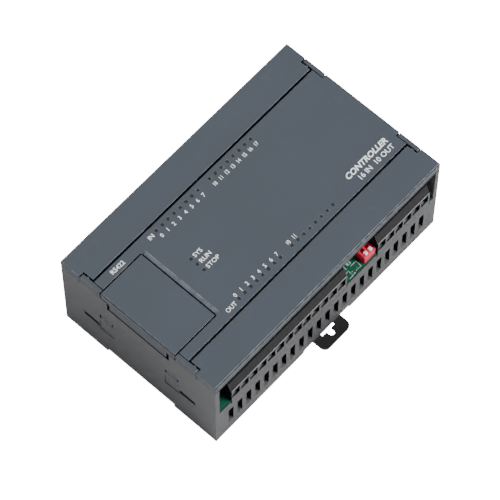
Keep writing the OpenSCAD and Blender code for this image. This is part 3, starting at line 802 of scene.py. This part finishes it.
class CONTROLLER_OT_boards(bpy.types.Operator):
    """Finishes the two boards, what is mounted on them and the board print"""

    bl_idname = "controller.boards"
    bl_label = "Boards and components"

    def execute(self, context):
        for node, material in REPAINTED:
            repaint(node, material)
        self.board_print()
        self.chip_resistors()
        return {"FINISHED"}

    def board_print(self):
        """White outlines, ticks and numbers on the bare stretch between the output blocks."""
        low, high = BOARD_TOP + 0.005, BOARD_TOP + 0.04
        lines = [((x, 4.6), (x, 6.4)) for x in (77.4, 78.9, 80.4)] + [((77.2, 7.6), (85.2, 7.6))]
        solid = bmesh.new()
        for outline in OUTLINES:
            corners = rectangle(*outline)
            for start, end in zip(corners, corners[1:]):
                stroke(solid, start, end, OUTLINE_WIDTH, low, high)
        for start, end in lines:
            stroke(solid, start, end, OUTLINE_WIDTH, low, high)
        solid_piece("board_outlines", solid, "housing", ["silk"])
        marks = [(text, x, y, BOARD_DIGIT, anchor, 0.9, 0.0, 0) for text, x, y, anchor in BOARD_MARKS]
        printed("board_numbers", marks, "housing", low, 0.035 * MM, "silk")

    def chip_resistors(self):
        """Small parts and tinned pads on the same stretch."""
        pads, chips = bmesh.new(), bmesh.new()
        pad_low = BOARD_TOP - 0.01
        for x, y in RESISTORS:
            for middle in (x - 0.75, x + 0.75):
                pad = rectangle(middle - 0.35, y - 0.4, middle + 0.35, y + 0.4)
                slab(pads, pad, pad_low, BOARD_TOP + 0.12)
            chip = rectangle(x - 0.62, y - 0.36, x + 0.62, y + 0.36)
            slab(chips, chip, BOARD_TOP + 0.1, BOARD_TOP + 0.55)
        for x in ROUND_PADS:
            slab(pads, ring_of(x, 2.2, 0.42), pad_low, BOARD_TOP + 0.1)
        solid_piece("board_pads", pads, "housing", ["tin"])
        solid_piece("board_resistors", chips, "housing", ["part"])


class CONTROLLER_OT_switches(bpy.types.Operator):
    """Builds the red two-way switch, its levers, and the mode switch under the flap"""

    bl_idname = "controller.switches"
    bl_label = "Switches"

    def execute(self, context):
        sizes = context.scene.controller_sizes
        rounded_piece("dip_switch_body", "red_switch_body", "housing", ("red", "red_edge"),
                      0.18 * MM)
        for i in (1, 2):
            rounded_piece(f"dip_lever_{i}", f"switch_lever_{i}", f"dip_lever_{i}",
                          ("white", "white_edge"), 0.14 * MM)
        rounded_piece("mode_switch_body", "mode_switch_case", "housing", ["nickel"],
                      sizes.small_edge, 2)
        rounded_piece("mode_switch_lever", "mode_switch_knob", "mode_switch_lever",
                      ("part", "part_edge"), 0.2 * MM)
        low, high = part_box("dip_switch_body")
        top = (high.z - CORNER.z) / MM
        left, front = (low.x - CORNER.x) / MM, (low.y - CORNER.y) / MM
        marks = [(str(i + 1), left + 1.93 + i * SWITCH_PITCH, front + 5.3, 1.3, MIDDLE, 1.0, 0.02, 0)
                 for i in (0, 1)] + [("ON", left + 3.2, front + 7.4, 1.2, MIDDLE, 1.0, 0.02, 0)]
        printed("switch_numbers", marks, "housing", top + PRINT_LIFT, 0.02 * MM)
        words = [(text, 16.0, y, 1.5, LEFT, 1.0, 0.01, 0) for text, y in (("RUN", 31.2), ("STOP", 26.6))]
        printed("mode_words", words, "housing", TRAY_TOP + PRINT_LIFT, 0.03 * MM)
        return {"FINISHED"}


class CONTROLLER_OT_port(bpy.types.Operator):
    """Builds the round serial port under the flap"""

    bl_idname = "controller.port"
    bl_label = "Serial port"

    def execute(self, context):
        sizes = context.scene.controller_sizes
        rounded_piece("port_body", "port_core", "housing", ("part", "part_edge"),
                      0.15 * MM, 2)
        rounded_piece("port_shell", "port_collar", "housing", ["nickel"], 0.12 * MM, 2)
        rounded_piece("port_contacts", "port_sockets", "housing", ["gold"],
                      sizes.small_edge, 1)
        return {"FINISHED"}


class CONTROLLER_OT_lights(bpy.types.Operator):
    """Builds the smoked light pipes behind the indicator windows"""

    bl_idname = "controller.lights"
    bl_label = "Light pipes"

    def execute(self, context):
        edge = context.scene.controller_sizes.small_edge
        for group in ("input", "output", "status"):
            rounded_piece(f"{group}_light_pipes", f"{group}_pipes", "housing", ["smoke"],
                          edge, 1)
        return {"FINISHED"}


class CONTROLLER_OT_print(bpy.types.Operator):
    """Prints the channel numbers and the plain words on the centre cover"""

    bl_idname = "controller.print"
    bl_label = "Lettering"

    def execute(self, context):
        sizes = context.scene.controller_sizes
        word = sizes.word_height / MM
        rows = {
            "input_numbers": self.numbers(57.9, 8) + [("IN", 30.6, 60.4, word, MIDDLE, 1.0, THIN, 0)],
            "output_numbers": self.numbers(20.15, 2) + [("OUT", 29.3, 17.75, word, MIDDLE, 0.95, THIN, 0)],
            "status_words": [(text, 35.6, y - word / 2, word, LEFT, 1.08, THIN, 0)
                             for text, y in STATUS_WORDS],
            "port_word": [(sizes.port_word, 9.2, 61.0, 2.0, LEFT, 1.0, THIN, 0)],
            "general_words": [("CONTROLLER", 123.0, 21.6, 2.7, RIGHT, 1.02, BOLD, 0.25),
                              ("16 IN  10 OUT", 123.0, 18.0, 2.3, RIGHT, 1.02, THIN, 0)],
        }
        thickness = sizes.ink_thickness - PRINT_SINK * MM
        for name, words in rows.items():
            printed(name, words, "housing", COVER_TOP + PRINT_LIFT, thickness)
        return {"FINISHED"}

    def numbers(self, y, tens):
        """0 to 7 under their lights, and from 10 on after one free place."""
        digit = bpy.context.scene.controller_sizes.digit_height / MM
        first = (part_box("indicator_leds")[0].x - CORNER.x) / MM + LIGHT_HALF
        places = [(str(i), i, WIDE_DIGIT) for i in range(8)]
        places += [(str(10 + i), 9 + i, NARROW_DIGIT) for i in range(tens)]
        return [(text, first + place * LIGHT_PITCH, y, digit, MIDDLE, stretch, THIN, 0)
                for text, place, stretch in places]


class CONTROLLER_OT_stage(bpy.types.Operator):
    """Sets up the pale floor, the softboxes and the camera"""

    bl_idname = "controller.stage"
    bl_label = "Stage, lights and camera"

    def execute(self, context):
        studio = context.scene.controller_studio
        self.floor(studio)
        self.world(studio)
        for name, place, size, setting in SOFTBOXES:
            self.softbox(name, place, size, getattr(studio, setting))
        self.camera(studio)
        return {"FINISHED"}

    def floor(self, studio):
        mesh = bpy.data.meshes.new("pale_floor")
        solid = bmesh.new()
        bmesh.ops.create_grid(solid, x_segments=8, y_segments=8, size=FLOOR_REACH)
        bmesh.ops.translate(solid, verts=solid.verts, vec=(0, 0, CORNER.z - FLOOR_DROP * MM))
        solid.to_mesh(mesh)
        solid.free()
        floor = bpy.data.objects.new("pale_floor", mesh)
        bpy.context.scene.collection.objects.link(floor)
        paint = Paint("pale_floor", Specular_IOR_Level=0.2, Roughness=0.8)
        cloud = paint.noise(0.4, 2.0)
        paint.feed("Base Color", paint.blend(cloud, shade(studio.floor, 0.98), studio.floor[:]))
        glow = paint.node("ShaderNodeEmission", None, {"Color": (1, 1, 1, 1), "Strength": studio.floor_glow})
        seen = paint.node("ShaderNodeLightPath", output="Is Camera Ray")
        lit = Value(paint, paint.shader.outputs[0])
        surface = paint.node("ShaderNodeMixShader", None, {0: seen * studio.floor_clear, 1: lit, 2: glow})
        paint.tree.links.new(surface.socket, paint.tree.nodes["Material Output"].inputs["Surface"])
        mesh.materials.append(paint.material)

    def world(self, studio):
        world = bpy.data.worlds.new("even_surroundings")
        bpy.context.scene.world = world
        world.use_nodes = True
        background = world.node_tree.nodes["Background"]
        background.inputs["Color"].default_value = (0.95, 0.97, 1.0, 1.0)
        background.inputs["Strength"].default_value = studio.sky

    def softbox(self, name, place, size, power):
        light = bpy.data.lights.new(name, "AREA")
        light.shape = "RECTANGLE"
        light.size, light.size_y = size
        light.energy = power
        box = bpy.data.objects.new(name, light)
        bpy.context.scene.collection.objects.link(box)
        box.location = place
        box.rotation_mode = "QUATERNION"
        box.rotation_quaternion = (-Vector(place)).to_track_quat("-Z", "Y")

    def camera(self, studio):
        lens = bpy.data.cameras.new("front_three_quarter")
        lens.lens = studio.lens
        lens.sensor_width = 36
        lens.clip_start, lens.clip_end = 0.05, 20
        camera = bpy.data.objects.new("front_three_quarter", lens)
        bpy.context.scene.collection.objects.link(camera)
        turn = Matrix((CAMERA_RIGHT, CAMERA_UP, CAMERA_RIGHT.cross(CAMERA_UP))).transposed()
        camera.matrix_world = Matrix.Translation(CAMERA_PLACE) @ turn.to_4x4()
        bpy.context.scene.camera = camera


OPERATORS = (
    CONTROLLER_OT_stage,
    CONTROLLER_OT_housing,
    CONTROLLER_OT_covers,
    CONTROLLER_OT_clip,
    CONTROLLER_OT_terminals,
    CONTROLLER_OT_boards,
    CONTROLLER_OT_switches,
    CONTROLLER_OT_port,
    CONTROLLER_OT_lights,
    CONTROLLER_OT_print,
)


class CONTROLLER_PT_sidebar(bpy.types.Panel):
    """Lists the controller's pieces and settings"""

    bl_label = "Controller"
    bl_idname = "CONTROLLER_PT_sidebar"
    bl_space_type = "VIEW_3D"
    bl_region_type = "UI"
    bl_category = "Controller"

    def draw(self, context):
        for group in (context.scene.controller_finishes, context.scene.controller_sizes,
                      context.scene.controller_studio):
            column = self.layout.column()
            for name in group.__annotations__:
                column.prop(group, name)
        for operator in OPERATORS:
            self.layout.operator(operator.bl_idname)


GROUPS = {
    "controller_finishes": ControllerFinishes,
    "controller_sizes": ControllerSizes,
    "controller_studio": ControllerStudio,
}
CLASSES = (*GROUPS.values(), *OPERATORS, CONTROLLER_PT_sidebar)


def register():
    for item in CLASSES:
        bpy.utils.register_class(item)
    for name, group in GROUPS.items():
        setattr(bpy.types.Scene, name, PointerProperty(type=group))


def unregister():
    for name in GROUPS:
        delattr(bpy.types.Scene, name)
    for item in reversed(CLASSES):
        bpy.utils.unregister_class(item)


def main():
    register()
    for operator in OPERATORS:
        module, name = operator.bl_idname.split(".")
        getattr(getattr(bpy.ops, module), name)()


if __name__ == "__main__":
    main()
